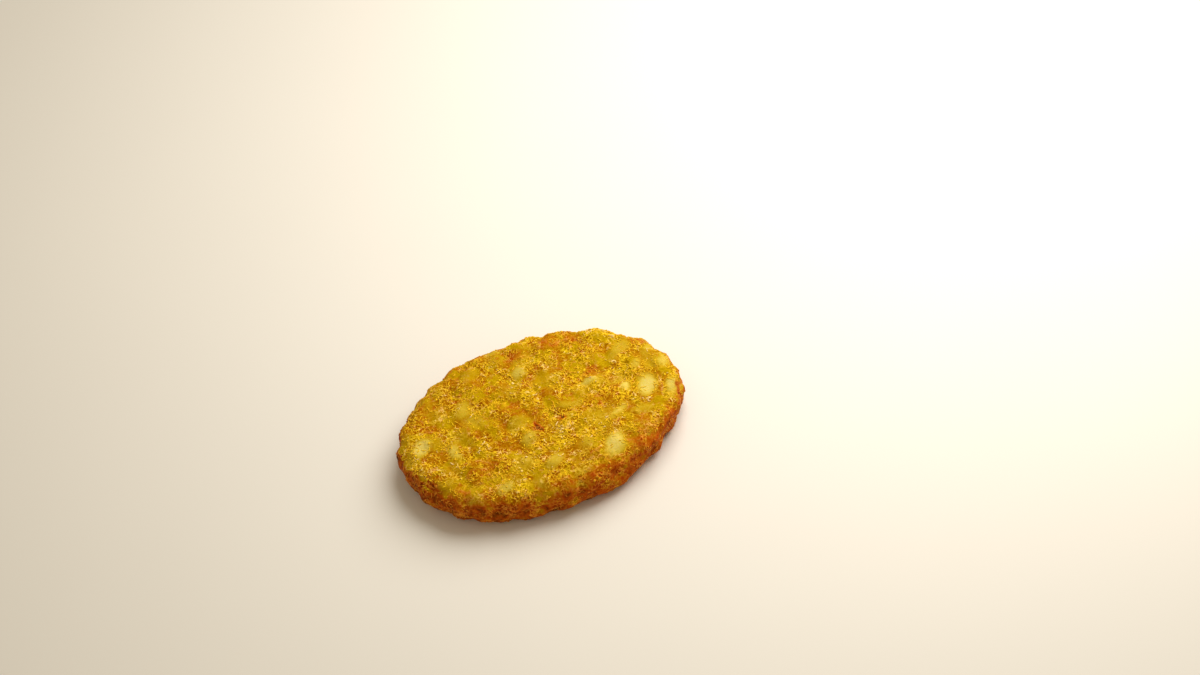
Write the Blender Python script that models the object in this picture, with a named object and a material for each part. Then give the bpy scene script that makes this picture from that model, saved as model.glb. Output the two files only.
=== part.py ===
"""An oval hash brown: one pressed and fried patty of potato pieces, lying flat with its shown side up.

Metres, +Z up. The origin is the middle of the patty's oval, on the plane it rests on. +X runs along its length.
The blank is a cut-up block, carried to an oval disc with a rounded edge. Its skin is then moved in and out by the
potato pieces pressed into it, and the underside is set down flat on its highest lumps.
"""

import math

import bmesh
import bpy
from mathutils import Vector, noise

# The whole patty, over its lumps.
LENGTH = 0.100
WIDTH = 0.071
THICKNESS = 0.0150

# The former's oval, as waves round it: number of lobes, share of the radius across X, share of the radius across Y.
OUTLINE_WAVES = ((3, 0.010, 0.0), (5, 0.002, -0.001), (6, 0.0, -0.004))
EDGE_RADIUS = 0.0061
CROWN = 0.0008  # how far the middle of the top face stands above its rim

# The block's cells along its length, width and thickness.
CELLS = (52, 35, 7)

# The skin's relief, each as how far it stands and how far apart it repeats.
SWELL_HEIGHT, SWELL_SPAN = 0.0010, 0.026
LUMP_HEIGHT, LUMP_SPAN = 0.0011, 0.0085
CRAG_HEIGHT, CRAG_SPAN = 0.0005, 0.0044
LUMP_REACH = 0.62  # of LUMP_SPAN, from a lump's middle to the crease round it
RIM_ROUGHER = 0.8  # how much further the crags stand out on the side than on the faces
NOISE_START = Vector((2.7, 8.6, 6.3))

# Potato pieces that lie bare in the top face: middle along X and Y, length, width and turn in degrees.
BARE_PIECES = (
    (0.0380, -0.0045, 0.0095, 0.0060, 42),
    (0.0190, -0.0225, 0.0095, 0.0060, 31),
    (-0.0410, 0.0025, 0.0090, 0.0060, 40),
    (-0.0235, 0.0115, 0.0090, 0.0062, 52),
    (-0.0310, -0.0045, 0.0090, 0.0040, -88),
    (-0.0080, -0.0020, 0.0072, 0.0050, 34),
    (-0.0065, -0.0100, 0.0072, 0.0054, 34),
    (-0.0205, -0.0255, 0.0070, 0.0044, 11),
    (-0.0375, -0.0165, 0.0072, 0.0056, 0),
    (0.0300, -0.0020, 0.0052, 0.0038, 43),
    (0.0450, -0.0075, 0.0070, 0.0046, 51),
    (0.0455, 0.0035, 0.0070, 0.0044, 51),
    (0.0370, 0.0055, 0.0058, 0.0036, 51),
    (0.0200, 0.0050, 0.0078, 0.0034, 5),
    (0.0165, 0.0020, 0.0062, 0.0046, 15),
    (0.0055, 0.0130, 0.0075, 0.0058, 25),
    (0.0105, -0.0020, 0.0080, 0.0044, -7),
    (0.0250, -0.0115, 0.0090, 0.0040, 40),
    (-0.0010, 0.0185, 0.0066, 0.0048, 19),
    (-0.0170, 0.0255, 0.0074, 0.0050, 39),
    (-0.0015, -0.0220, 0.0078, 0.0048, 38),
    (0.0325, -0.0135, 0.0070, 0.0044, 0),
    (0.0340, 0.0145, 0.0090, 0.0060, 10),
    (0.0440, 0.0110, 0.0060, 0.0045, 60),
)
BARE_HEIGHT = 0.0004

# A round of the underside at the origin is pressed flat, with a ramp round it.
FLAT_RADIUS = 0.007
RAMP_RADIUS = 0.011
FLAT_PRESS = 0.0025

CRUST_COLOUR = (0.56, 0.30, 0.03, 1.0)
CRUST_ROUGHNESS = 0.55


def clear_scene():
    """Starts from an empty scene."""
    for thing in list(bpy.data.objects):
        bpy.data.objects.remove(thing, do_unlink=True)


def smooth_step(low, high, value):
    """0 below low, 1 above high, and an even curve between."""
    share = min(1.0, max(0.0, (value - low) / (high - low)))
    return share * share * (3 - 2 * share)


def cut_block():
    """A block from -1 to 1 whose faces are cut into CELLS."""
    block = bmesh.new()
    bmesh.ops.create_cube(block, size=2)
    for axis, cells in enumerate(CELLS):
        normal = Vector((axis == 0, axis == 1, axis == 2))
        for cut in range(1, cells):
            everything = block.verts[:] + block.edges[:] + block.faces[:]
            place = normal * (2 * cut / cells - 1)
            bmesh.ops.bisect_plane(block, geom=everything, plane_co=place, plane_no=normal)
    return block


def ring_and_bearing(x, y):
    """A point of the square from -1 to 1 as its place on a disc: each square ring becomes a circle."""
    ring = max(abs(x), abs(y))
    if ring == 0:
        return 0.0, 0.0
    if abs(x) >= abs(y):
        return ring, math.pi / 4 * y / x + (math.pi if x < 0 else 0)
    return ring, math.pi / 2 - math.pi / 4 * x / y + (math.pi if y < 0 else 0)


def outline_point(bearing):
    """The oval's edge at a bearing from its middle."""
    reach = 1 + sum(
        along * math.cos(lobes * bearing) + across * math.sin(lobes * bearing)
        for lobes, along, across in OUTLINE_WAVES
    )
    return Vector((LENGTH / 2 * math.cos(bearing), WIDTH / 2 * math.sin(bearing))) * reach


def blank_point(place):
    """A point of the block's skin, carried to the smooth blank of the patty."""
    ring, bearing = ring_and_bearing(place.x, place.y)
    edge = outline_point(bearing)
    reach = edge.length
    radius, height = ring * reach, place.z * THICKNESS / 2
    core_height = THICKNESS / 2 - EDGE_RADIUS
    core = Vector((min(radius, reach - EDGE_RADIUS), max(-core_height, min(core_height, height))))
    rounding = Vector((radius, height)) - core
    profile = core + rounding.normalized() * EDGE_RADIUS
    outwards = edge / reach * profile.x
    crown = CROWN * (1 - ring * ring) * max(0.0, place.z)
    return Vector((outwards.x, outwards.y, profile.y + crown))


def bare_piece_relief(point):
    """How far a bare potato piece of the top face stands out at a point: 0 beside it."""
    highest = 0.0
    for x, y, length, width, turn in BARE_PIECES:
        from_middle = Vector((point.x - x, point.y - y))
        angle = math.radians(turn)
        along = from_middle.x * math.cos(angle) + from_middle.y * math.sin(angle)
        across = from_middle.y * math.cos(angle) - from_middle.x * math.sin(angle)
        away = math.hypot(2 * along / length, 2 * across / width)
        highest = max(highest, BARE_HEIGHT * (1 - smooth_step(0.5, 1.3, away)))
    return highest if point.z > 0 else 0.0


def relief(point, normal):
    """How far the skin stands out from the blank at a point: broad swells, pressed lumps and crags."""
    swell = SWELL_HEIGHT * noise.noise(point / SWELL_SPAN + NOISE_START)
    to_lump = noise.voronoi(point / LUMP_SPAN + NOISE_START)[0][0] / LUMP_REACH
    lump = LUMP_HEIGHT * (0.5 - min(1.0, to_lump) ** 2)
    crag = CRAG_HEIGHT * noise.noise(point / CRAG_SPAN + NOISE_START)
    rim = 1 - abs(normal.z)
    return swell + lump + crag * (1 + RIM_ROUGHER * rim) + bare_piece_relief(point)


def press_flat(point):
    """Sets a point of the underside down on the resting plane, all of it where the flat round is."""
    if point.z < 0:
        from_middle = math.hypot(point.x, point.y)
        point.z -= FLAT_PRESS * (1 - smooth_step(FLAT_RADIUS, RAMP_RADIUS, from_middle))
    point.z = max(point.z, -THICKNESS / 2)


def fit_to_size(patty):
    """Scales the patty to its length, width and thickness, with the origin below its middle."""
    lowest = Vector([min(v.co[axis] for v in patty.verts) for axis in range(3)])
    highest = Vector([max(v.co[axis] for v in patty.verts) for axis in range(3)])
    size = highest - lowest
    middle = (lowest + highest) / 2
    bmesh.ops.translate(patty, verts=patty.verts, vec=(-middle.x, -middle.y, -lowest.z))
    scale = (LENGTH / size.x, WIDTH / size.y, THICKNESS / size.z)
    bmesh.ops.scale(patty, verts=patty.verts, vec=scale)


def make_patty():
    """The whole patty as one closed mesh."""
    patty = cut_block()
    for vertex in patty.verts:
        vertex.co = blank_point(vertex.co)
    patty.normal_update()
    moves = [(v, v.normal * relief(v.co, v.normal)) for v in patty.verts]
    for vertex, move in moves:
        vertex.co += move
        press_flat(vertex.co)
    fit_to_size(patty)
    bmesh.ops.triangulate(patty, faces=patty.faces)
    return patty


def crust_material():
    """Fried potato crust, golden and slightly oily."""
    material = bpy.data.materials.new("fried_potato_crust")
    material.use_nodes = True
    shader = material.node_tree.nodes["Principled BSDF"]
    shader.inputs["Base Color"].default_value = CRUST_COLOUR
    shader.inputs["Roughness"].default_value = CRUST_ROUGHNESS
    shader.inputs["Metallic"].default_value = 0.0
    return material


def main():
    clear_scene()
    patty = make_patty()
    mesh = bpy.data.meshes.new("hash_brown")
    patty.to_mesh(mesh)
    patty.free()
    mesh.shade_smooth()
    mesh.materials.append(crust_material())
    bpy.context.scene.collection.objects.link(bpy.data.objects.new("hash_brown", mesh))


main()
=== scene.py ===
"""The looks of an oval hash brown over its CAD frame: its crust, crumbs and curls, on a plain pale stage.

Metres, in the frame's own axes: +X along the patty, +Z out of its shown face, and the floor at Z = 0.
"""

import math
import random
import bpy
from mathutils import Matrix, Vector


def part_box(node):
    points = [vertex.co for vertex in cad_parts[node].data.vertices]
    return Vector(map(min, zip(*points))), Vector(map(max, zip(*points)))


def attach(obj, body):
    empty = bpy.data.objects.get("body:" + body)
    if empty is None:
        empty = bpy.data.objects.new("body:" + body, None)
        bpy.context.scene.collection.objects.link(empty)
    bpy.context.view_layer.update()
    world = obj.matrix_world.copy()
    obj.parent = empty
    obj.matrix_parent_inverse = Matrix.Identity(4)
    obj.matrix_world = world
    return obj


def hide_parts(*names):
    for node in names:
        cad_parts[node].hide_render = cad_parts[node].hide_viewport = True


bl_info = {
    "name": "Hash Brown",
    "version": (1, 0, 0),
    "blender": (4, 5, 0),
    "location": "3D View > Sidebar > Hash Brown",
    "description": "Adds an oval fried hash brown with its crumbs and curls, and a plain stage for it",
    "category": "Add Mesh",
}

import bmesh
import bpy
from bpy.props import FloatProperty, FloatVectorProperty, IntProperty, PointerProperty
from mathutils import Matrix, Vector, noise
from mathutils.bvhtree import BVHTree

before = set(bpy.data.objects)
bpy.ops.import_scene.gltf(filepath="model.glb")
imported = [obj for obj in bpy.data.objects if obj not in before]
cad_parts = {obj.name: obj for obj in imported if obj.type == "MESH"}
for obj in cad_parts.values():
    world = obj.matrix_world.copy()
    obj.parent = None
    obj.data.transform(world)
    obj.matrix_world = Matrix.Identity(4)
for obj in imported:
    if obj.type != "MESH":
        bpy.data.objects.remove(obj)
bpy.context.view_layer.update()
CAD_LOW, CAD_HIGH = (Vector(corner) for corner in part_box("hash_brown"))
LENGTH, WIDTH, THICKNESS = CAD_HIGH - CAD_LOW

# The patty's blank and its main relief, as the CAD solid has them.
OUTLINE_WAVES = ((3, 0.010, 0.0), (5, 0.002, -0.001), (6, 0.0, -0.004))
EDGE_RADIUS = 0.0061
CROWN = 0.0008
SWELL_HEIGHT, SWELL_SPAN = 0.0010, 0.026
LUMP_HEIGHT, LUMP_SPAN = 0.0011, 0.0085
CRAG_HEIGHT, CRAG_SPAN = 0.0005, 0.0044
LUMP_REACH = 0.62
RIM_ROUGHER = 0.8
NOISE_START = Vector((2.7, 8.6, 6.3))
FLAT_RADIUS = 0.007
RAMP_RADIUS = 0.011
FLAT_PRESS = 0.0025

# Potato that lies bare in the shown face: middle along X and Y, length, width, turn in degrees, and how pale
# it is.
BARE_PIECES = (
    (0.0370, -0.0045, 0.0110, 0.0066, 66, 0.78),
    (0.0192, -0.0235, 0.0115, 0.0068, 58, 0.74),
    (-0.0410, 0.0025, 0.0090, 0.0060, 40, 0.75),
    (-0.0235, 0.0115, 0.0090, 0.0062, 52, 0.3),
    (-0.0310, -0.0045, 0.0090, 0.0040, -88, 0.5),
    (-0.0080, -0.0020, 0.0072, 0.0050, 34, 0.2),
    (-0.0065, -0.0100, 0.0072, 0.0054, 34, 0.4),
    (-0.0205, -0.0255, 0.0070, 0.0044, 11, 0.5),
    (-0.0375, -0.0165, 0.0072, 0.0056, 0, 0.1),
    (0.0300, -0.0020, 0.0052, 0.0038, 43, 0.7),
    (0.0450, -0.0075, 0.0070, 0.0046, 51, 0.65),
    (0.0455, 0.0035, 0.0070, 0.0044, 51, 0.5),
    (0.0370, 0.0055, 0.0058, 0.0036, 51, 0.4),
    (0.0200, 0.0050, 0.0078, 0.0034, 5, 0.6),
    (0.0165, 0.0020, 0.0062, 0.0046, 15, 0.1),
    (0.0055, 0.0130, 0.0075, 0.0058, 25, 0.05),
    (0.0105, -0.0020, 0.0080, 0.0044, -7, 0.2),
    (0.0250, -0.0115, 0.0090, 0.0040, 40, 0.45),
    (-0.0010, 0.0185, 0.0066, 0.0048, 19, 0.55),
    (-0.0170, 0.0255, 0.0074, 0.0050, 39, 0.1),
    (-0.0015, -0.0220, 0.0078, 0.0048, 38, 0.35),
    (0.0325, -0.0135, 0.0070, 0.0044, 0, 0.2),
    (0.0340, 0.0145, 0.0090, 0.0060, 10, 0.3),
    (0.0440, 0.0110, 0.0060, 0.0045, 60, 0.35),
)
BARE_HEIGHT = 0.0004

# Places of the shown face that fried browner: middle along X and Y, length, width, turn in degrees, and how
# brown. The two with more than 1 are small burnt specks.
BROWNED_PLACES = (
    (0.0160, 0.0265, 0.0140, 0.0070, -11, 0.55),
    (0.0005, 0.0265, 0.0120, 0.0070, -4, 0.5),
    (-0.0310, 0.0245, 0.0075, 0.0048, 10, 0.5),
    (0.0205, 0.0088, 0.0070, 0.0034, 2, 0.7),
    (0.0270, 0.0015, 0.0105, 0.0036, -87, 0.65),
    (0.0405, 0.0160, 0.0066, 0.0044, -4, 0.6),
    (-0.0085, 0.0060, 0.0100, 0.0060, -48, 0.5),
    (0.0065, -0.0062, 0.0025, 0.0016, -60, 3.4),
    (-0.0025, -0.0064, 0.0030, 0.0018, 10, 3.4),
    (0.0300, -0.0255, 0.0150, 0.0110, 17, 0.9),
    (-0.0325, 0.0170, 0.0076, 0.0052, 21, 0.4),
    (0.0435, -0.0165, 0.0160, 0.0034, 62, 0.6),
    (0.0020, -0.0010, 0.0090, 0.0050, -2, 0.4),
    (0.0110, -0.0255, 0.0140, 0.0064, 0, 0.35),
    (-0.0150, 0.0310, 0.0440, 0.0070, 9, 0.45),
    (-0.0330, 0.0235, 0.0160, 0.0070, 38, 0.4),
)

# The crust's mesh: the block's cells along its length, width and thickness, and how often each is cut again.
CELLS = (46, 31, 7)
CELL_CUTS = 4

# The photograph's camera: its frame, its lens, and how it sees the middle of the patty.
FRAME_WIDTH, FRAME_HEIGHT = 1200, 675
LENS, SENSOR = 100.0, 36.0
LOOK_DOWN, LOOK_TURN, LOOK_ROLL = math.radians(51), math.radians(-8.5), math.radians(-13.2)
PIXELS_PER_METRE = 2973.0
MIDDLE_PIXEL = (541.2, 422.4)


def srgb(code):
    """An sRGB hex colour as linear red, green and blue."""
    channels = [int(code[start : start + 2], 16) / 255 for start in (1, 3, 5)]
    return [c / 12.92 if c <= 0.04045 else ((c + 0.055) / 1.055) ** 2.4 for c in channels]


def add_node(tree, kind, inputs=None, output=None, **settings):
    """Adds a node with its settings, and returns its first output or the named one.

    An input, found by its name or its number, is set to a value or reads another node's output.
    """
    node = tree.nodes.new(kind)
    for name, value in settings.items():
        setattr(node, name, value)
    for key, value in (inputs or {}).items():
        if isinstance(key, int):
            socket = node.inputs[key]
        else:
            socket = next(s for s in node.inputs if s.enabled and key in (s.name, s.identifier))
        if isinstance(value, bpy.types.NodeSocket):
            tree.links.new(value, socket)
        else:
            socket.default_value = value
    return next(socket for socket in node.outputs if socket.enabled and output in (None, socket.name))


def smooth_step(low, high, value):
    """0 below low, 1 above high, and an even curve between."""
    share = min(1.0, max(0.0, (value - low) / (high - low)))
    return share * share * (3 - 2 * share)


# -------------------------------------------------------------------------------- settings


class CrustSettings(bpy.types.PropertyGroup):
    """The crust's fine relief and its colours."""

    grain_height: FloatProperty(
        name="Grain height",
        description="How far a grain of the crust stands out",
        default=0.00018,
        unit="LENGTH",
    )
    grain_span: FloatProperty(
        name="Grain spacing",
        description="How far apart the crust's grains are",
        default=0.0013,
        unit="LENGTH",
    )
    gold: FloatVectorProperty(
        name="Gold", description="Crust fried golden", subtype="COLOR", default=srgb("#B18E00")
    )
    deep_gold: FloatVectorProperty(
        name="Deep gold", description="Crust fried a little longer", subtype="COLOR", default=srgb("#A66800")
    )
    browned: FloatVectorProperty(
        name="Browned",
        description="Crust fried brown, as at the edge",
        subtype="COLOR",
        default=srgb("#B44C08"),
    )
    # Burnt specks, and the side's darkest parts low down and at the left end, which are partly painted shade.
    burnt_and_shaded: FloatVectorProperty(
        name="Dark", description="Hollows and the lower edge", subtype="COLOR", default=srgb("#4E1C02")
    )
    potato: FloatVectorProperty(
        name="Potato", description="Potato under thin crust", subtype="COLOR", default=srgb("#B58B00")
    )
    bright_potato: FloatVectorProperty(
        name="Bright potato",
        description="Potato under a film of crust",
        subtype="COLOR",
        default=srgb("#D6C200"),
    )
    pale: FloatVectorProperty(
        name="Pale potato", description="Potato with no crust on it", subtype="COLOR", default=srgb("#DECE92")
    )
    # Painted shade: the crust's colour is multiplied by this between the fine ridges, where shade falls.
    gap: FloatVectorProperty(
        name="Gap",
        description="What the colour is multiplied by between the fine ridges",
        subtype="COLOR",
        default=srgb("#D8C15E"),
    )
    # Painted highlight: the ridges are drawn lighter than the crust, gold on golden crust and orange on brown
    # crust.
    highlit_ridge: FloatVectorProperty(
        name="Strand", description="Fine ridges on golden crust", subtype="COLOR", default=srgb("#F2C822")
    )
    highlit_brown_ridge: FloatVectorProperty(
        name="Brown strand",
        description="Fine ridges on brown crust",
        subtype="COLOR",
        default=srgb("#EE9E34"),
    )
    # Painted highlight: cream on the ridges that seem to catch the light.
    cream_highlight: FloatVectorProperty(
        name="Cream", description="Ridges that catch the light", subtype="COLOR", default=srgb("#FFE09A")
    )


class CrumbSettings(bpy.types.PropertyGroup):
    """The crumbs that are fried onto the crust."""

    count: IntProperty(name="Crumbs", description="How many crumbs there are", default=1500)
    smallest: FloatProperty(
        name="Smallest crumb", description="Length of the smallest crumbs", default=0.0003, unit="LENGTH"
    )
    largest: FloatProperty(
        name="Largest crumb", description="Length of the largest crumbs", default=0.0014, unit="LENGTH"
    )
    # The crumbs' gold and cream are lighter than the crust, partly as their own tone and partly as painted
    # highlight.
    gold: FloatVectorProperty(
        name="Crumb gold", description="Crumbs on golden crust", subtype="COLOR", default=srgb("#F4CB26")
    )
    browned: FloatVectorProperty(
        name="Crumb brown", description="Crumbs on brown crust", subtype="COLOR", default=srgb("#D08428")
    )
    cream_highlight: FloatVectorProperty(
        name="Crumb cream", description="The lightest crumbs", subtype="COLOR", default=srgb("#FFE09A")
    )


class CurlSettings(bpy.types.PropertyGroup):
    """The thin curls of batter and potato on the crust."""

    count: IntProperty(name="Curls", description="How many curls there are", default=3200)
    shortest: FloatProperty(
        name="Shortest curl", description="Length of the shortest curls", default=0.0007, unit="LENGTH"
    )
    longest: FloatProperty(
        name="Longest curl", description="Length of the longest curls", default=0.0025, unit="LENGTH"
    )
    thickness: FloatProperty(
        name="Curl thickness", description="How thick a curl is in its middle", default=0.00034, unit="LENGTH"
    )


class StageSettings(bpy.types.PropertyGroup):
    """The floor and the light."""

    floor: FloatVectorProperty(
        name="Floor", description="The plain pale floor", subtype="COLOR", default=srgb("#ECE9E3")
    )
    sky: FloatProperty(name="Room light", description="Strength of the even light all round", default=0.42)
    key: FloatProperty(
        name="Key light", description="Power of the large light", default=1.95, subtype="POWER"
    )


# -------------------------------------------------------------------------------- shape

# Each kind of noise starts from a place of its own.
PATCH_START, CLUSTER_START, SIDE_START, CREAM_START = (times * NOISE_START for times in (3, 4, 5, 7))

# The edges of the marks wander: how far and over what distance, and where in the noise the parts along X, Y
# and Z are read.
EDGE_WANDERS = ((0.0020, 0.0055), (0.0010, 0.0018))
WANDER_STARTS = (Vector((31.4, 5.9, 12.2)), Vector((8.1, 44.7, 27.5)), Vector((19.6, 13.3, 52.8)))

# Bare potato. Each pair is the range over which it gives way to crust, as a share of a piece's oval or of a
# lump's cell.
SHOWN_FACE = (0.2, 0.7)  # the normal's Z, from the side to the shown face
BARE_REACH = (0.6, 1.3)
PALE_REACH = (0.3, 1.3)
LUMP_TOP = (0.1, 0.65)
LUMP_DRAW = 9  # spreads the lumps' middles out, so that each lump draws a thickness of crust of its own
THIN_BARES, THIN_PALES = (0.15, 0.6), (0.4, 1.0)  # how thin the crust on a lump is
LUMP_BARE, LUMP_PALE = 0.85, 0.25  # how bare and how pale the thinnest crust is

# The browned side: up to which part of the normal's Z it reaches, and how that changes at the front and the
# left end.
SIDE_TO = 0.8
FRONT_FROM, FRONT_TO, LEFT_FROM = 0.3, 0.19, 0.4
TO_FRONT = (0.03, -0.02)  # Y
FACING_LEFT = (-0.1, -0.6)  # the normal's X
# Low down and at the left end the side is darker: partly browning, partly painted shade.
LOW_DOWN, LOW_BROWNING_AND_SHADE = (0.007, 0.0), 0.4  # Z, and how much browner the lower edge is
LEFT_BROWNING_AND_SHADE = 0.28
FACING_DOWN, UNDERSIDE_LIGHTER = (-0.5, -0.9), 0.55  # the normal's Z
SIDE_SPAN, SIDE_BLOTCHES = 0.0032, 0.6

# The browned rim of the shown face: over which part of the oval, of Y and of X it comes in, and how brown.
RIM_REACH, RIM_FRONT = (0.74, 0.95), (-0.012, -0.024)
RIM_BROWN = 0.35
RIM_RIGHT, RIM_RIGHT_BROWNER = (-0.02, 0.01), 0.5
RIM_LEFT, RIM_LEFT_BROWNER = (-0.022, -0.03), 0.3

# Other marks: painted shade in the creases between lumps, and browning round the browned places and in
# patches.
CREASE, CREASE_SHADE = (0.45, 0.75), 0.2
BROWNED_REACH = (0.2, 1.8)
PATCH_SPAN, PATCH_RANGE, PATCH_BROWN = 0.0085, (0.05, 0.6), 0.25
PATCH_FALL, PATCH_FINER, PATCH_OCTAVES = 0.9, 2.1, 3
BARE_GOLDEN = 0.7  # how much less bare potato browns
MOST_BROWNED = 2.0

# The grain: how much coarser its second size is, and how high that stands beside the first. How much of it is
# left in smooth patches, how much less there is on bare potato and on brown crust, and what makes a crest.
COARSER, COARSE_SHARE = 2.7, 0.9
ROUGH_SPAN, ROUGH_RANGE, SMOOTH_SHARE = 0.004, (-0.2, 0.34), 0.25
BARE_SMOOTHER, BROWN_SMOOTHER = 0.7, 0.3
CREST_BASE, CREST_GRAIN, CREST_COARSE = 0.55, 0.75, 0.3


def cut_block():
    """A block from -1 to 1 with its faces cut into CELLS, and each cell cut again."""
    block = bmesh.new()
    bmesh.ops.create_cube(block, size=2)
    for axis, cells in enumerate(CELLS):
        normal = Vector((axis == 0, axis == 1, axis == 2))
        for cut in range(1, cells):
            everything = block.verts[:] + block.edges[:] + block.faces[:]
            place = normal * (2 * cut / cells - 1)
            bmesh.ops.bisect_plane(block, geom=everything, plane_co=place, plane_no=normal)
    bmesh.ops.subdivide_edges(block, edges=block.edges[:], cuts=CELL_CUTS, use_grid_fill=True)
    return block


def ring_and_bearing(x, y):
    """A point of the square from -1 to 1 as its place on a disc: each square ring becomes a circle."""
    ring = max(abs(x), abs(y))
    if ring == 0:
        return 0.0, 0.0
    if abs(x) >= abs(y):
        return ring, math.pi / 4 * y / x + (math.pi if x < 0 else 0)
    return ring, math.pi / 2 - math.pi / 4 * x / y + (math.pi if y < 0 else 0)


def outline_point(bearing):
    """The oval's edge at a bearing from its middle."""
    reach = 1 + sum(
        along * math.cos(lobes * bearing) + across * math.sin(lobes * bearing)
        for lobes, along, across in OUTLINE_WAVES
    )
    return Vector((LENGTH / 2 * math.cos(bearing), WIDTH / 2 * math.sin(bearing))) * reach


def blank_point(place):
    """A point of the block's skin, carried to the smooth blank of the patty."""
    ring, bearing = ring_and_bearing(place.x, place.y)
    edge = outline_point(bearing)
    reach = edge.length
    radius, height = ring * reach, place.z * THICKNESS / 2
    core_height = THICKNESS / 2 - EDGE_RADIUS
    core = Vector((min(radius, reach - EDGE_RADIUS), max(-core_height, min(core_height, height))))
    rounding = Vector((radius, height)) - core
    profile = core + rounding.normalized() * EDGE_RADIUS
    outwards = edge / reach * profile.x
    crown = CROWN * (1 - ring * ring) * max(0.0, place.z)
    return Vector((outwards.x, outwards.y, profile.y + crown))


def oval_share(point, x, y, length, width, turn):
    """How far a point is from an oval's middle, as a share of its reach: 1 on its edge."""
    angle = math.radians(turn)
    aside_x, aside_y = point.x - x, point.y - y
    along = aside_x * math.cos(angle) + aside_y * math.sin(angle)
    across = aside_y * math.cos(angle) - aside_x * math.sin(angle)
    return math.hypot(2 * along / length, 2 * across / width)


def bare_piece_relief(point):
    """How far a bare potato piece of the top face stands out at a point: 0 beside it."""
    if point.z <= 0:
        return 0.0
    nearest = min(oval_share(point, *piece[:5]) for piece in BARE_PIECES)
    return BARE_HEIGHT * (1 - smooth_step(0.5, 1.3, nearest))


def cell_bump(point, span):
    """1 at the middle of each cell of a random pattern, and 0 in the crease round it."""
    return 1 - min(1.0, noise.voronoi(point / span + NOISE_START)[0][0] / LUMP_REACH) ** 2


def main_relief(point, normal):
    """How far the skin stands out from the blank at a point: broad swells, pressed lumps and crags."""
    swell = SWELL_HEIGHT * noise.noise(point / SWELL_SPAN + NOISE_START)
    lump = LUMP_HEIGHT * (cell_bump(point, LUMP_SPAN) - 0.5)
    crag = CRAG_HEIGHT * noise.noise(point / CRAG_SPAN + NOISE_START)
    rim = 1 - abs(normal.z)
    return swell + lump + crag * (1 + RIM_ROUGHER * rim) + bare_piece_relief(point)


def press_flat(point):
    """Sets a point of the underside down on the resting plane, all of it where the flat round is."""
    if point.z < 0:
        from_middle = math.hypot(point.x, point.y)
        point.z -= FLAT_PRESS * (1 - smooth_step(FLAT_RADIUS, RAMP_RADIUS, from_middle))
    point.z = max(point.z, -THICKNESS / 2)


def fit_to_cad(crust):
    """Scales the crust to the CAD solid's box."""
    lowest = Vector([min(v.co[axis] for v in crust.verts) for axis in range(3)])
    highest = Vector([max(v.co[axis] for v in crust.verts) for axis in range(3)])
    size = highest - lowest
    scale = Matrix.Diagonal((LENGTH / size.x, WIDTH / size.y, THICKNESS / size.z, 1))
    matrix = Matrix.Translation(CAD_LOW) @ scale @ Matrix.Translation(-lowest)
    bmesh.ops.transform(crust, verts=crust.verts, matrix=matrix)


def wander(point, span):
    """A direction at a place, with parts from -1 to 1, that changes over a distance of span."""
    return Vector([noise.noise(point / span + start) for start in WANDER_STARTS])


def side_browning(point, normal):
    """How browned the crust is because it faces away from the top, and darker low down and at the left end,
    partly from frying and partly as painted shade.
    """
    front = smooth_step(*TO_FRONT, point.y)
    left = smooth_step(*FACING_LEFT, normal.x)
    low, high = FRONT_FROM * front + LEFT_FROM * left, SIDE_TO + FRONT_TO * front
    browned = 1 - smooth_step(low, high, normal.z)
    # Darker low down and at the left end: partly browning, partly painted shade.
    browned += browned * (LOW_BROWNING_AND_SHADE * smooth_step(*LOW_DOWN, point.z) + LEFT_BROWNING_AND_SHADE * left)
    return browned * (1 - UNDERSIDE_LIGHTER * smooth_step(*FACING_DOWN, normal.z))


def rim_browning(point):
    """How browned the shown face is along its front rim."""
    to_edge = math.hypot(2 * point.x / LENGTH, 2 * point.y / WIDTH)
    rim = smooth_step(*RIM_REACH, to_edge) * smooth_step(*RIM_FRONT, point.y)
    right = RIM_RIGHT_BROWNER * smooth_step(*RIM_RIGHT, point.x)
    left = RIM_LEFT_BROWNER * smooth_step(*RIM_LEFT, point.x)
    return rim * (RIM_BROWN + right + left)


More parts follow.
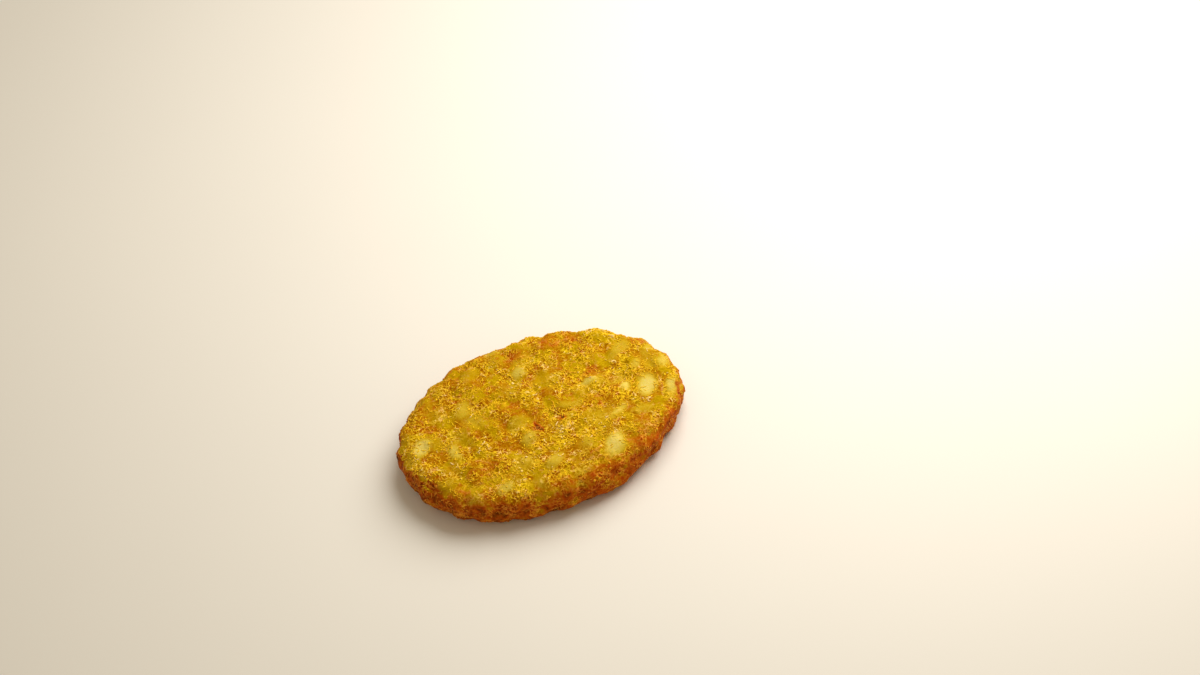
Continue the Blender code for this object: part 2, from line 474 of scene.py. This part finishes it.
def surface_marks(point, normal):
    """How bare and how pale the crust is at a place, from 0 to 1, and how browned, from 0 to MOST_BROWNED,
    with painted shade in the creases, low down and at the left end.
    """
    top = smooth_step(*SHOWN_FACE, normal.z)
    ragged = point.copy()
    for reach, span in EDGE_WANDERS:
        ragged += reach * wander(point, span)
    bare = pale = 0.0
    for *oval, paleness in BARE_PIECES:
        away = oval_share((point + ragged) / 2, *oval)
        bare = max(bare, top * (1 - smooth_step(*BARE_REACH, away)))
        pale = max(pale, top * paleness * (1 - smooth_step(*PALE_REACH, away)))
    distances, centres = noise.voronoi(ragged / LUMP_SPAN + NOISE_START)
    thin = noise.cell(centres[0] * LUMP_DRAW) * 0.5 + 0.5
    lump_top = 1 - smooth_step(*LUMP_TOP, distances[0])
    bare = max(bare, LUMP_BARE * top * lump_top * smooth_step(*THIN_BARES, thin))
    pale = max(pale, top * lump_top * LUMP_PALE * smooth_step(*THIN_PALES, thin))
    browned = side_browning(point, normal)
    # Painted shade in the creases between lumps.
    browned += CREASE_SHADE * smooth_step(*CREASE, distances[0]) * (1 - browned)
    browned = max(browned, rim_browning(point))
    for *oval, strength in BROWNED_PLACES:
        browned = max(browned, top * strength * (1 - smooth_step(*BROWNED_REACH, oval_share(ragged, *oval))))
    patchy = noise.fractal(point / PATCH_SPAN + PATCH_START, PATCH_FALL, PATCH_FINER, PATCH_OCTAVES)
    browned += PATCH_BROWN * smooth_step(*PATCH_RANGE, patchy) * (1 - top * browned)
    browned += SIDE_BLOTCHES * (1 - top) * noise.noise(point / SIDE_SPAN + SIDE_START)
    return bare, pale, min(MOST_BROWNED, browned * (1 - BARE_GOLDEN * bare * top))


def fine_relief(point, bare, browned, settings):
    """Height of the crust's fine grain at a place, and how much of a crest it is from 0 to 1."""
    grain = cell_bump(point, settings.grain_span)
    coarse = cell_bump(point, COARSER * settings.grain_span)
    patch = smooth_step(*ROUGH_RANGE, noise.noise(point / ROUGH_SPAN + CLUSTER_START))
    rough = SMOOTH_SHARE + (1 - SMOOTH_SHARE) * patch
    cover = rough * (1 - BARE_SMOOTHER * bare) * (1 - BROWN_SMOOTHER * min(1.0, browned))
    height = settings.grain_height * cover * (grain + COARSE_SHARE * coarse - COARSE_SHARE)
    return height, min(1.0, cover * (CREST_BASE + CREST_GRAIN * grain + CREST_COARSE * coarse))


def make_crust(settings):
    """The crust as one closed mesh, with its marks as attributes for the material."""
    crust = cut_block()
    for vertex in crust.verts:
        vertex.co = blank_point(vertex.co)
    crust.normal_update()
    moves = [(v, v.normal * main_relief(v.co, v.normal)) for v in crust.verts]
    for vertex, move in moves:
        vertex.co += move
        press_flat(vertex.co)
    fit_to_cad(crust)
    crust.normal_update()
    layers = [crust.verts.layers.float.new(name) for name in ("bare", "pale", "browned", "crest")]
    moves = []
    for vertex in crust.verts:
        bare, pale, browned = surface_marks(vertex.co, vertex.normal)
        height, crest = fine_relief(vertex.co, bare, browned, settings)
        moves.append((vertex, vertex.normal * height))
        for layer, mark in zip(layers, (bare, pale, browned, crest)):
            vertex[layer] = mark
    for vertex, move in moves:
        vertex.co += move
        vertex.co.z = max(0.0, vertex.co.z)
    return crust


# -------------------------------------------------------------------------------- pieces

# Where scraps lie: how sharply they cluster, how many lie outside the clusters, how many fewer lie on bare
# potato and on brown crust, and the share that is left on the underside.
CLUSTER_SPAN = 0.0045
CRUMB_COVER = (0.35, 0.12, 0.8, 0.55, 0.35)
CURL_COVER = (0.3, 0.15, 0.75, 0.75, 0.3)
UNDERSIDE = -0.3  # the normal's Z
CREAM_SPAN, CREAM_RANGE, CREAM_PATCH = 0.004, (0.1, 0.3), 0.7

# Crumbs: how many kinds there are, how far their corners move, how many more are small, how far they tilt in
# radians, their width and height as shares of their length, how far they stray, and how far they stand out.
CRUMB_SEED, CRUMB_KINDS = 11, 12
CRUMB_CORNERS = (0.6, 1.3)
CRUMB_POWER, CRUMB_TILT = 3, 0.5
CRUMB_WIDTH, CRUMB_HEIGHT = (0.4, 0.9), (0.25, 0.5)
CRUMB_STRAY, CRUMB_RISE = 0.00025, 0.06

# Curls: their rings, how many more are short, how far they turn at each ring in radians, steadily and by
# chance, how uneven they are, which part of half a wave their thickness follows, and how far they rise.
CURL_SEED, CURL_RINGS, CURL_POWER = 23, 5, 2
STEADY_TURN, CHANCE_TURN = 0.5, 0.8
CURL_BULGES = (0.55, 1.45)
TAPER_FROM, TAPER_SPAN = 0.12, 0.76
CURL_LIFTS, CURL_RISE, CURL_LIFT_RISE = (0.0, 0.8), 0.05, 0.4


def finish_piece(context, name, shape, material):
    """Makes an object of a bmesh, lets it ride with the frame and gives it its finish."""
    mesh = bpy.data.meshes.new(name)
    shape.to_mesh(mesh)
    shape.free()
    mesh.shade_smooth()
    mesh.materials.append(material)
    piece = bpy.data.objects.new(name, mesh)
    context.scene.collection.objects.link(piece)
    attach(piece, "root")
    return piece


def scattered_faces(crust, rng, count, cover):
    """Random places of the crust, as cover says: each a middle, a normal, how bare and how browned it is."""
    cluster_edge, loose, less_on_bare, less_on_brown, below = cover
    mesh = crust.data
    bare = [0.0] * len(mesh.vertices)
    browned = [0.0] * len(mesh.vertices)
    mesh.attributes["bare"].data.foreach_get("value", bare)
    mesh.attributes["browned"].data.foreach_get("value", browned)
    places = []
    weights = []
    for face in mesh.polygons:
        corner = face.vertices[0]
        place = face.center.copy()
        places.append((place, face.normal.copy(), bare[corner], browned[corner]))
        cluster = smooth_step(-cluster_edge, cluster_edge, noise.noise(place / CLUSTER_SPAN + CLUSTER_START))
        weight = (loose + cluster) * (1 - less_on_bare * bare[corner])
        weight *= 1 - less_on_brown * min(1.0, browned[corner])
        weights.append(face.area * (weight * (below if face.normal.z < UNDERSIDE else 1.0)))
    return rng.choices(places, weights, k=count)


def scrap_tone(rng, point):
    """A random tone for a scrap from 0 to 1, cream to brown: the cream ones, partly painted highlight, lie
    together in patches.
    """
    patch = smooth_step(*CREAM_RANGE, noise.noise(point / CREAM_SPAN + CREAM_START))
    return rng.random() * (1 - CREAM_PATCH * patch)


def crumb_templates(rng, count):
    """Small irregular grains, each a ball of 20 faces with its corners moved."""
    templates = []
    for _ in range(count):
        grain = bmesh.new()
        bmesh.ops.create_icosphere(grain, subdivisions=1, radius=0.5)
        for vertex in grain.verts:
            vertex.co *= rng.uniform(*CRUMB_CORNERS)
        mesh = bpy.data.meshes.new("crumb_template")
        grain.to_mesh(mesh)
        grain.free()
        templates.append(mesh)
    return templates


def make_crumbs(crust, settings):
    """All the crumbs as one mesh, each half sunk in the crust."""
    rng = random.Random(CRUMB_SEED)
    templates = crumb_templates(rng, CRUMB_KINDS)
    places = scattered_faces(crust, rng, settings.count, CRUMB_COVER)
    crumbs = bmesh.new()
    for _ in places:
        crumbs.from_mesh(rng.choice(templates))
    tone_layer = crumbs.verts.layers.float.new("tone")
    browned_layer = crumbs.verts.layers.float.new("browned")
    crumbs.verts.ensure_lookup_table()
    corners = len(templates[0].vertices)
    for index, (point, normal, _, browned) in enumerate(places):
        size = settings.smallest + (settings.largest - settings.smallest) * rng.random() ** CRUMB_POWER
        spin = Matrix.Rotation(rng.uniform(0, math.tau), 4, "Z")
        tilt = Matrix.Rotation(rng.uniform(-CRUMB_TILT, CRUMB_TILT), 4, "X")
        stand = normal.to_track_quat("Z", "Y").to_matrix().to_4x4()
        width = size * rng.uniform(*CRUMB_WIDTH)
        scale = Matrix.Diagonal((size, width, size * rng.uniform(*CRUMB_HEIGHT), 1))
        aside = stand.to_3x3() @ Vector((rng.uniform(-1, 1), rng.uniform(-1, 1), 0.0)) * CRUMB_STRAY
        middle = Matrix.Translation(point + aside + normal * size * CRUMB_RISE)
        matrix = middle @ stand @ tilt @ spin @ scale
        tone = scrap_tone(rng, point)
        for vertex in crumbs.verts[index * corners : (index + 1) * corners]:
            vertex.co = matrix @ vertex.co
            vertex.co.z = max(0.0, vertex.co.z)
            vertex[tone_layer] = tone
            vertex[browned_layer] = browned
    for mesh in templates:
        bpy.data.meshes.remove(mesh)
    return crumbs


def curl_template():
    """A straight four sided rod of unit length along Z, cut into CURL_RINGS."""
    rod = bmesh.new()
    bmesh.ops.create_cone(
        rod, cap_ends=True, segments=4, radius1=0.5, radius2=0.5, depth=1,
        matrix=Matrix.Translation((0, 0, 0.5)),
    )
    for ring in range(1, CURL_RINGS):
        everything = rod.verts[:] + rod.edges[:] + rod.faces[:]
        place = (0, 0, ring / CURL_RINGS)
        bmesh.ops.bisect_plane(rod, geom=everything, plane_co=place, plane_no=(0, 0, 1))
    mesh = bpy.data.meshes.new("curl_template")
    rod.to_mesh(mesh)
    rod.free()
    return mesh


def curl_path(surface, rng, start, normal, length):
    """Points and normals of a curl that winds over the crust from a place."""
    heading = normal.orthogonal().normalized()
    heading.rotate(Matrix.Rotation(rng.uniform(0, math.tau), 3, normal))
    turning = rng.uniform(-STEADY_TURN, STEADY_TURN)
    path = [(start, normal)]
    for _ in range(CURL_RINGS):
        point, up = path[-1]
        heading.rotate(Matrix.Rotation(turning + rng.uniform(-CHANCE_TURN, CHANCE_TURN), 3, up))
        ahead = point + heading * length / CURL_RINGS
        nearest, up, _, _ = surface.find_nearest(ahead)
        heading = (heading - up * heading.dot(up)).normalized()
        path.append((nearest, up))
    return path


def make_curls(crust, settings):
    """All the curls as one mesh: thin tapering strands that wind over the crust."""
    rng = random.Random(CURL_SEED)
    template = curl_template()
    shape = bmesh.new()
    shape.from_mesh(crust.data)
    surface = BVHTree.FromBMesh(shape)
    shape.free()
    places = scattered_faces(crust, rng, settings.count, CURL_COVER)
    curls = bmesh.new()
    for _ in places:
        curls.from_mesh(template)
    tone_layer = curls.verts.layers.float.new("tone")
    browned_layer = curls.verts.layers.float.new("browned")
    curls.verts.ensure_lookup_table()
    corners = len(template.vertices)
    for index, (point, normal, _, browned) in enumerate(places):
        length = settings.shortest + (settings.longest - settings.shortest) * rng.random() ** CURL_POWER
        path = curl_path(surface, rng, point, normal, length)
        lift = rng.uniform(*CURL_LIFTS)
        tone = scrap_tone(rng, point)
        bulges = [rng.uniform(*CURL_BULGES) for _ in range(CURL_RINGS + 1)]
        for vertex in curls.verts[index * corners : (index + 1) * corners]:
            step = round(vertex.co.z * CURL_RINGS)
            here, up = path[step]
            before, after = path[max(step - 1, 0)][0], path[min(step + 1, CURL_RINGS)][0]
            along = (after - before).normalized()
            aside = along.cross(up).normalized()
            bulge = math.sin(math.pi * (TAPER_FROM + TAPER_SPAN * step / CURL_RINGS)) * bulges[step]
            reach = settings.thickness * bulge
            rise = settings.thickness * (CURL_RISE + CURL_LIFT_RISE * lift * bulge)
            vertex.co = here + aside * vertex.co.x * reach + up * (vertex.co.y * reach + rise)
            vertex.co.z = max(0.0, vertex.co.z)
            vertex[tone_layer] = tone
            vertex[browned_layer] = browned
    bpy.data.meshes.remove(template)
    return curls


# -------------------------------------------------------------------------------- materials

# The crust's patterns: how far apart each repeats, and over which part of its noise it comes in.
MOTTLE_SPAN, MOTTLE_FROM, MOTTLE_TO = 0.005, 0.42, 0.58
# Painted highlight: the blotches turn ridges cream between LIGHT_FROM and LIGHT_TO.
BLOTCH_SPAN, BLOTCH_SHARE, LIGHT_FROM, LIGHT_TO = 0.0018, 1.6, 0.54, 0.64
# Painted glints: light specks on the grain's crests come in between the two grain values.
GRAIN_SPAN, GLINT_SPOT_FROM, GLINT_SPOT_TO = 0.0007, 0.56, 0.7
DUST_SPAN, DUST_FROM, DUST_TO, LEAST_FROST = 0.00035, 0.3, 0.7, 0.4
BROWN_FROM, BROWN_TO = 0.2, 1.1
DARK_FROM, DARK_TO = 1.0, 1.9
# Painted highlight: on bare potato, a share of each ridge turns cream.
BARE_CREAM_HIGHLIGHT = 0.25  # how much of a ridge turns cream on bare potato

# The two nets of fine ridges: how far apart they run, a ridge's width as a share of the noise, its height,
# how strong the bump is, and how much higher a ridge stands than the grain.
NET_SPANS = (0.0022, 0.0017)
NET_LINE = 0.046
NET_HEIGHT, NET_BUMP, NET_OVER_GRAIN = 0.0004, 0.45, 0.6

# A scrap's brownness is its place's and a share of its tone. These are where it turns brown, and cream, the
# cream partly painted highlight.
TONE_SHARE = 0.5
SCRAP_BROWN_FROM, SCRAP_BROWN_TO = 0.25, 1.2
SCRAP_CREAM_HIGHLIGHT_FROM, SCRAP_CREAM_HIGHLIGHT_TO = 0.09, 0.03

# Frying oil on the food: its IOR, and the weak golden reflection that the photograph shows.
OIL_IOR, OIL_SPECULAR, OIL_TINT = 1.47, 0.02, (1.0, 0.7, 0.12, 1.0)
DRY_ROUGHNESS, RIDGE_ROUGHNESS, SCRAP_ROUGHNESS = 0.55, 0.28, 0.4
GLOW, GLOW_REACH = 0.12, (0.0016, 0.0009, 0.0003)  # light that passes through potato, and how far

# The floor's faint mottles, how many to a metre and how much light they leave, and its matt paint.
FLOOR_MOTTLES, FLOOR_SHADE, FLOOR_ROUGHNESS, FLOOR_SPECULAR = 9.0, 0.97, 0.75, 0.2


def crust_material(colours):
    """Fried potato crust, from its marks and from patterns on Object coordinates."""
    # Potato and batter, pressed and deep fried. The eye sees rough, matt gold that turns brown at the edge,
    # with soft yellow potato under thin crust, a little light through it all, and oily ridges that glint. The
    # glints on the ridges and grain, and the shade between them, are painted into the colour.
    material = bpy.data.materials.new("fried_potato_crust")
    material.use_nodes = True
    tree = material.node_tree
    shader = tree.nodes["Principled BSDF"]
    place = add_node(tree, "ShaderNodeTexCoord", output="Object")
    bare, pale, browned, crest = (
        add_node(tree, "ShaderNodeAttribute", output="Fac", attribute_name=name)
        for name in ("bare", "pale", "browned", "crest")
    )

    # Patterns. Real grit is under 0.3 mm and starch dust under 0.1 mm, too fine to show in the render, so
    # they are drawn at 0.7 mm and 0.35 mm, where a pixel is 0.34 mm.
    mottling, blotches, grain, dust = (
        add_node(tree, "ShaderNodeTexNoise", {"Vector": place, "Scale": 1 / span, "Detail": detail})
        for span, detail in ((MOTTLE_SPAN, 1), (BLOTCH_SPAN, 1), (GRAIN_SPAN, 3), (DUST_SPAN, 1))
    )
    mottle = add_node(
        tree, "ShaderNodeMapRange", {"Value": mottling, "From Min": MOTTLE_FROM, "From Max": MOTTLE_TO}
    )
    uneven = add_node(
        tree, "ShaderNodeMath", {0: blotches, 1: BLOTCH_SHARE, 2: -BLOTCH_SHARE / 2}, operation="MULTIPLY_ADD"
    )
    brown_share = add_node(tree, "ShaderNodeMath", {0: browned, 1: uneven}, operation="ADD")
    brown = add_node(
        tree, "ShaderNodeMapRange", {"Value": brown_share, "From Min": BROWN_FROM, "From Max": BROWN_TO}
    )
    burnt_and_shaded = add_node(
        tree, "ShaderNodeMapRange", {"Value": brown_share, "From Min": DARK_FROM, "From Max": DARK_TO}
    )
    golden = add_node(tree, "ShaderNodeMath", {0: 1.0, 1: brown}, operation="SUBTRACT")
    # Painted glints: light specks on the grain's crests.
    glint_spot = add_node(
        tree, "ShaderNodeMapRange", {"Value": grain, "From Min": GLINT_SPOT_FROM, "From Max": GLINT_SPOT_TO}
    )
    glint = add_node(tree, "ShaderNodeMath", {0: crest, 1: glint_spot}, operation="MULTIPLY")
    frost = add_node(
        tree, "ShaderNodeMapRange",
        {"Value": dust, "From Min": DUST_FROM, "From Max": DUST_TO, "To Min": LEAST_FROST},
    )
    core = add_node(tree, "ShaderNodeMath", {0: pale, 1: pale}, operation="MULTIPLY")
    frosted = add_node(tree, "ShaderNodeMath", {0: core, 1: frost}, operation="MULTIPLY")

    # Ridges, as lines where a noise crosses its middle value. Real threads of batter are often 0.1 mm wide,
    # too fine to show in the render, so these are drawn about 0.3 mm wide. Their lighter colour is painted
    # highlight.
    off_lines = []
    for span in NET_SPANS:
        net = add_node(tree, "ShaderNodeTexNoise", {"Vector": place, "Scale": 1 / span, "Detail": 1})
        from_line = add_node(tree, "ShaderNodeMath", {0: net, 1: 0.5}, operation="SUBTRACT")
        off_lines.append(add_node(tree, "ShaderNodeMath", {0: from_line}, operation="ABSOLUTE"))
    off_line = add_node(tree, "ShaderNodeMath", dict(enumerate(off_lines)), operation="MINIMUM")
    line = add_node(
        tree, "ShaderNodeMapRange", {"Value": off_line, "From Min": NET_LINE, "From Max": 0.0},
        interpolation_type="SMOOTHSTEP",
    )
    # Ridges on the crests. Their lighter colour below is painted highlight.
    highlit_ridge = add_node(tree, "ShaderNodeMath", {0: line, 1: crest}, operation="MULTIPLY")
    # Painted shade over the crests, everywhere between the ridges.
    gap = add_node(
        tree, "ShaderNodeMapRange", {"Value": off_line, "From Min": NET_LINE, "From Max": 2 * NET_LINE}
    )
    shaded = add_node(tree, "ShaderNodeMath", {0: gap, 1: crest}, operation="MULTIPLY")
    # Painted highlight: in random blotches on golden crust, the ridges turn cream.
    light = add_node(
        tree, "ShaderNodeMapRange", {"Value": blotches, "From Min": LIGHT_FROM, "From Max": LIGHT_TO}
    )
    light = add_node(tree, "ShaderNodeMath", {0: light, 1: golden}, operation="MULTIPLY")
    lit_strand = add_node(tree, "ShaderNodeMath", {0: highlit_ridge, 1: light}, operation="MULTIPLY")
    lit_strand = add_node(tree, "ShaderNodeMath", {0: lit_strand, 1: line}, operation="MULTIPLY")

    # Colour: gold, then potato, brown and pale over it, then painted shade in the gaps, and the ridges
    # between them with painted glints and highlights.
    colour = add_node(
        tree, "ShaderNodeMix", {"Factor": mottle, "A": (*colours.deep_gold, 1), "B": (*colours.gold, 1)},
        data_type="RGBA",
    )
    for factor, over in (
        (bare, colours.potato),
        (brown, colours.browned),
        (burnt_and_shaded, colours.burnt_and_shaded),
        (pale, colours.bright_potato),
        (frosted, colours.pale),
    ):
        colour = add_node(
            tree, "ShaderNodeMix", {"Factor": factor, "A": colour, "B": (*over, 1)}, data_type="RGBA"
        )
    colour = add_node(
        tree, "ShaderNodeMix", {"Factor": shaded, "A": colour, "B": (*colours.gap, 1)},
        data_type="RGBA", blend_type="MULTIPLY",
    )
    # The painted highlight colour of the ridges.
    highlit_ridge_colour = add_node(
        tree, "ShaderNodeMix",
        {"Factor": brown, "A": (*colours.highlit_ridge, 1), "B": (*colours.highlit_brown_ridge, 1)},
        data_type="RGBA",
    )
    on_bare = add_node(tree, "ShaderNodeMath", {0: bare, 1: BARE_CREAM_HIGHLIGHT}, operation="MULTIPLY")
    highlit_ridge_colour = add_node(
        tree, "ShaderNodeMix", {"Factor": on_bare, "A": highlit_ridge_colour, "B": (*colours.cream_highlight, 1)},
        data_type="RGBA",
    )
    # Painted glints on the grain, painted highlights on the ridges, and painted cream highlights on some of
    # them.
    for factor, over in ((glint, highlit_ridge_colour), (highlit_ridge, highlit_ridge_colour), (lit_strand, (*colours.cream_highlight, 1))):
        colour = add_node(tree, "ShaderNodeMix", {"Factor": factor, "A": colour, "B": over}, data_type="RGBA")
    tree.links.new(colour, shader.inputs["Base Color"])

    height = add_node(
        tree, "ShaderNodeMath", {0: highlit_ridge, 1: NET_OVER_GRAIN, 2: grain}, operation="MULTIPLY_ADD"
    )
    bump = add_node(
        tree, "ShaderNodeBump", {"Strength": NET_BUMP, "Distance": NET_HEIGHT, "Height": height}
    )
    tree.links.new(bump, shader.inputs["Normal"])
    roughness = add_node(
        tree, "ShaderNodeMapRange", {"Value": highlit_ridge, "To Min": DRY_ROUGHNESS, "To Max": RIDGE_ROUGHNESS}
    )
    tree.links.new(roughness, shader.inputs["Roughness"])
    shader.inputs["IOR"].default_value = OIL_IOR
    shader.inputs["Specular IOR Level"].default_value = OIL_SPECULAR
    shader.inputs["Specular Tint"].default_value = OIL_TINT
    shader.inputs["Subsurface Weight"].default_value = GLOW
    shader.inputs["Subsurface Radius"].default_value = GLOW_REACH
    shader.inputs["Subsurface Scale"].default_value = 1.0
    return material


def scrap_material(name, colours):
    """Fried scraps on the crust, each with a tone of its own, and browner where the crust is."""
    # Loose batter and potato, deep fried. The eye sees small oily pieces, each of one colour from cream to
    # brown, a little lighter and glossier than the crust under them. The lightness, most of all the cream, is
    # partly their tone and partly painted highlight.
    material = bpy.data.materials.new(name)
    material.use_nodes = True
    tree = material.node_tree
    shader = tree.nodes["Principled BSDF"]
    tone, place_browned = (
        add_node(tree, "ShaderNodeAttribute", output="Fac", attribute_name=layer)
        for layer in ("tone", "browned")
    )
    share = add_node(
        tree, "ShaderNodeMath", {0: tone, 1: TONE_SHARE, 2: place_browned}, operation="MULTIPLY_ADD"
    )
    brown = add_node(
        tree, "ShaderNodeMapRange", {"Value": share, "From Min": SCRAP_BROWN_FROM, "From Max": SCRAP_BROWN_TO}
    )
    # Painted highlight: the lightest scraps, in patches, turn cream.
    light = add_node(
        tree, "ShaderNodeMapRange", {"Value": share, "From Min": SCRAP_CREAM_HIGHLIGHT_FROM, "From Max": SCRAP_CREAM_HIGHLIGHT_TO}
    )
    colour = add_node(
        tree, "ShaderNodeMix", {"Factor": brown, "A": (*colours.gold, 1), "B": (*colours.browned, 1)},
        data_type="RGBA",
    )
    colour = add_node(
        tree, "ShaderNodeMix", {"Factor": light, "A": colour, "B": (*colours.cream_highlight, 1)}, data_type="RGBA"
    )
    tree.links.new(colour, shader.inputs["Base Color"])
    shader.inputs["Roughness"].default_value = SCRAP_ROUGHNESS
    shader.inputs["IOR"].default_value = OIL_IOR
    shader.inputs["Specular IOR Level"].default_value = OIL_SPECULAR
    shader.inputs["Specular Tint"].default_value = OIL_TINT
    return material


def floor_material(colour):
    """Matt painted board for the floor."""
    # Board with matt wall paint. The eye sees one plain pale tone, barely uneven, with no reflection.
    material = bpy.data.materials.new("matt_painted_board")
    material.use_nodes = True
    tree = material.node_tree
    shader = tree.nodes["Principled BSDF"]
    place = add_node(tree, "ShaderNodeTexCoord", output="Object")
    uneven = add_node(tree, "ShaderNodeTexNoise", {"Vector": place, "Scale": FLOOR_MOTTLES})
    dimmer = [channel * FLOOR_SHADE for channel in colour]
    shade = add_node(
        tree, "ShaderNodeMix", {"Factor": uneven, "A": (*colour, 1), "B": (*dimmer, 1)}, data_type="RGBA"
    )
    tree.links.new(shade, shader.inputs["Base Color"])
    shader.inputs["Roughness"].default_value = FLOOR_ROUGHNESS
    shader.inputs["Specular IOR Level"].default_value = FLOOR_SPECULAR
    return material


# -------------------------------------------------------------------------------- operators

# The stage: from the floor's middle to its sides, the colour of the room's light, and the key light.
FLOOR_REACH = 4
ROOM_COLOUR = (1.0, 0.86, 0.62, 1.0)
KEY_PLACE, KEY_AIM = (0.22, 0.12, 0.30), (0, 0, 0.01)
KEY_SIZE, KEY_COLOUR = 0.4, (1.0, 0.96, 0.9)
CAMERA_REACH = 20


class HASHBROWN_OT_add_crust(bpy.types.Operator):
    """Adds the fried crust in place of the patty's CAD solid"""

    bl_idname = "hashbrown.add_crust"
    bl_label = "Add Crust"

    def execute(self, context):
        settings = context.scene.hashbrown_crust
        crust = finish_piece(context, "crust", make_crust(settings), crust_material(settings))
        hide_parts("hash_brown")
        return {"FINISHED"}


class HASHBROWN_OT_add_crumbs(bpy.types.Operator):
    """Adds the crumbs that are fried onto the crust"""

    bl_idname = "hashbrown.add_crumbs"
    bl_label = "Add Crumbs"

    def execute(self, context):
        settings = context.scene.hashbrown_crumbs
        material = scrap_material("fried_crumb", settings)
        finish_piece(context, "crumbs", make_crumbs(bpy.data.objects["crust"], settings), material)
        return {"FINISHED"}


class HASHBROWN_OT_add_curls(bpy.types.Operator):
    """Adds the thin fried curls on the crust"""

    bl_idname = "hashbrown.add_curls"
    bl_label = "Add Curls"

    def execute(self, context):
        settings = context.scene.hashbrown_curls
        material = scrap_material("fried_curl", context.scene.hashbrown_crumbs)
        finish_piece(context, "curls", make_curls(bpy.data.objects["crust"], settings), material)
        return {"FINISHED"}


class HASHBROWN_OT_add_stage(bpy.types.Operator):
    """Adds the pale floor, the soft light and the photograph's camera"""

    bl_idname = "hashbrown.add_stage"
    bl_label = "Add Stage"

    def execute(self, context):
        scene = context.scene
        settings = scene.hashbrown_stage
        shape = bmesh.new()
        bmesh.ops.create_grid(shape, x_segments=1, y_segments=1, size=FLOOR_REACH)
        mesh = bpy.data.meshes.new("floor")
        shape.to_mesh(mesh)
        shape.free()
        mesh.materials.append(floor_material(settings.floor))
        floor = bpy.data.objects.new("floor", mesh)
        scene.collection.objects.link(floor)

        world = bpy.data.worlds.new("room")
        world.use_nodes = True
        background = world.node_tree.nodes["Background"]
        background.inputs["Color"].default_value = ROOM_COLOUR
        background.inputs["Strength"].default_value = settings.sky
        scene.world = world

        light = bpy.data.lights.new("key", "AREA")
        light.shape = "DISK"
        light.size = KEY_SIZE
        light.energy = settings.key
        light.color = KEY_COLOUR
        key = bpy.data.objects.new("key", light)
        key.location = KEY_PLACE
        key.rotation_euler = (Vector(KEY_AIM) - key.location).to_track_quat("-Z", "Y").to_euler()
        scene.collection.objects.link(key)

        scene.camera = photograph_camera(scene)
        scene.view_settings.view_transform = "Standard"
        return {"FINISHED"}


def photograph_camera(scene):
    """The camera that sees the patty as the photograph does."""
    focal = LENS / SENSOR * FRAME_WIDTH
    aside = (MIDDLE_PIXEL[0] - FRAME_WIDTH / 2) / focal
    below = (MIDDLE_PIXEL[1] - FRAME_HEIGHT / 2) / focal
    to_middle = Vector((aside, -below, -1))
    aim = to_middle.rotation_difference(Vector((0, 0, -1))).to_matrix()
    turn = Matrix.Rotation(LOOK_TURN, 3, "Z")
    tilt = Matrix.Rotation(math.pi / 2 - LOOK_DOWN, 3, "X")
    axes = turn @ tilt @ Matrix.Rotation(LOOK_ROLL, 3, "Z") @ aim
    data = bpy.data.cameras.new("photograph")
    data.lens = LENS
    data.sensor_width = SENSOR
    data.clip_end = CAMERA_REACH
    camera = bpy.data.objects.new("photograph", data)
    place = axes.to_4x4()
    place.translation = Vector((0, 0, THICKNESS / 2)) - axes @ to_middle * focal / PIXELS_PER_METRE
    camera.matrix_world = place
    scene.collection.objects.link(camera)
    return camera


class HASHBROWN_PT_panel(bpy.types.Panel):
    """Lists the hash brown's operators"""

    bl_label = "Hash Brown"
    bl_idname = "HASHBROWN_PT_panel"
    bl_space_type = "VIEW_3D"
    bl_region_type = "UI"
    bl_category = "Hash Brown"

    def draw(self, context):
        for operator in OPERATORS:
            self.layout.operator(operator.bl_idname)
        for name in SETTINGS:
            group = getattr(context.scene, name)
            for prop in group.__annotations__:
                self.layout.prop(group, prop)


OPERATORS = (HASHBROWN_OT_add_crust, HASHBROWN_OT_add_crumbs, HASHBROWN_OT_add_curls, HASHBROWN_OT_add_stage)
SETTINGS = {
    "hashbrown_crust": CrustSettings,
    "hashbrown_crumbs": CrumbSettings,
    "hashbrown_curls": CurlSettings,
    "hashbrown_stage": StageSettings,
}
CLASSES = (*SETTINGS.values(), *OPERATORS, HASHBROWN_PT_panel)


def register():
    for cls in CLASSES:
        bpy.utils.register_class(cls)
    for name, group in SETTINGS.items():
        setattr(bpy.types.Scene, name, PointerProperty(type=group))


def unregister():
    for name in SETTINGS:
        delattr(bpy.types.Scene, name)
    for cls in reversed(CLASSES):
        bpy.utils.unregister_class(cls)


def main():
    register()
    bpy.ops.hashbrown.add_crust()
    bpy.ops.hashbrown.add_crumbs()
    bpy.ops.hashbrown.add_curls()
    bpy.ops.hashbrown.add_stage()


if __name__ == "__main__":
    main()
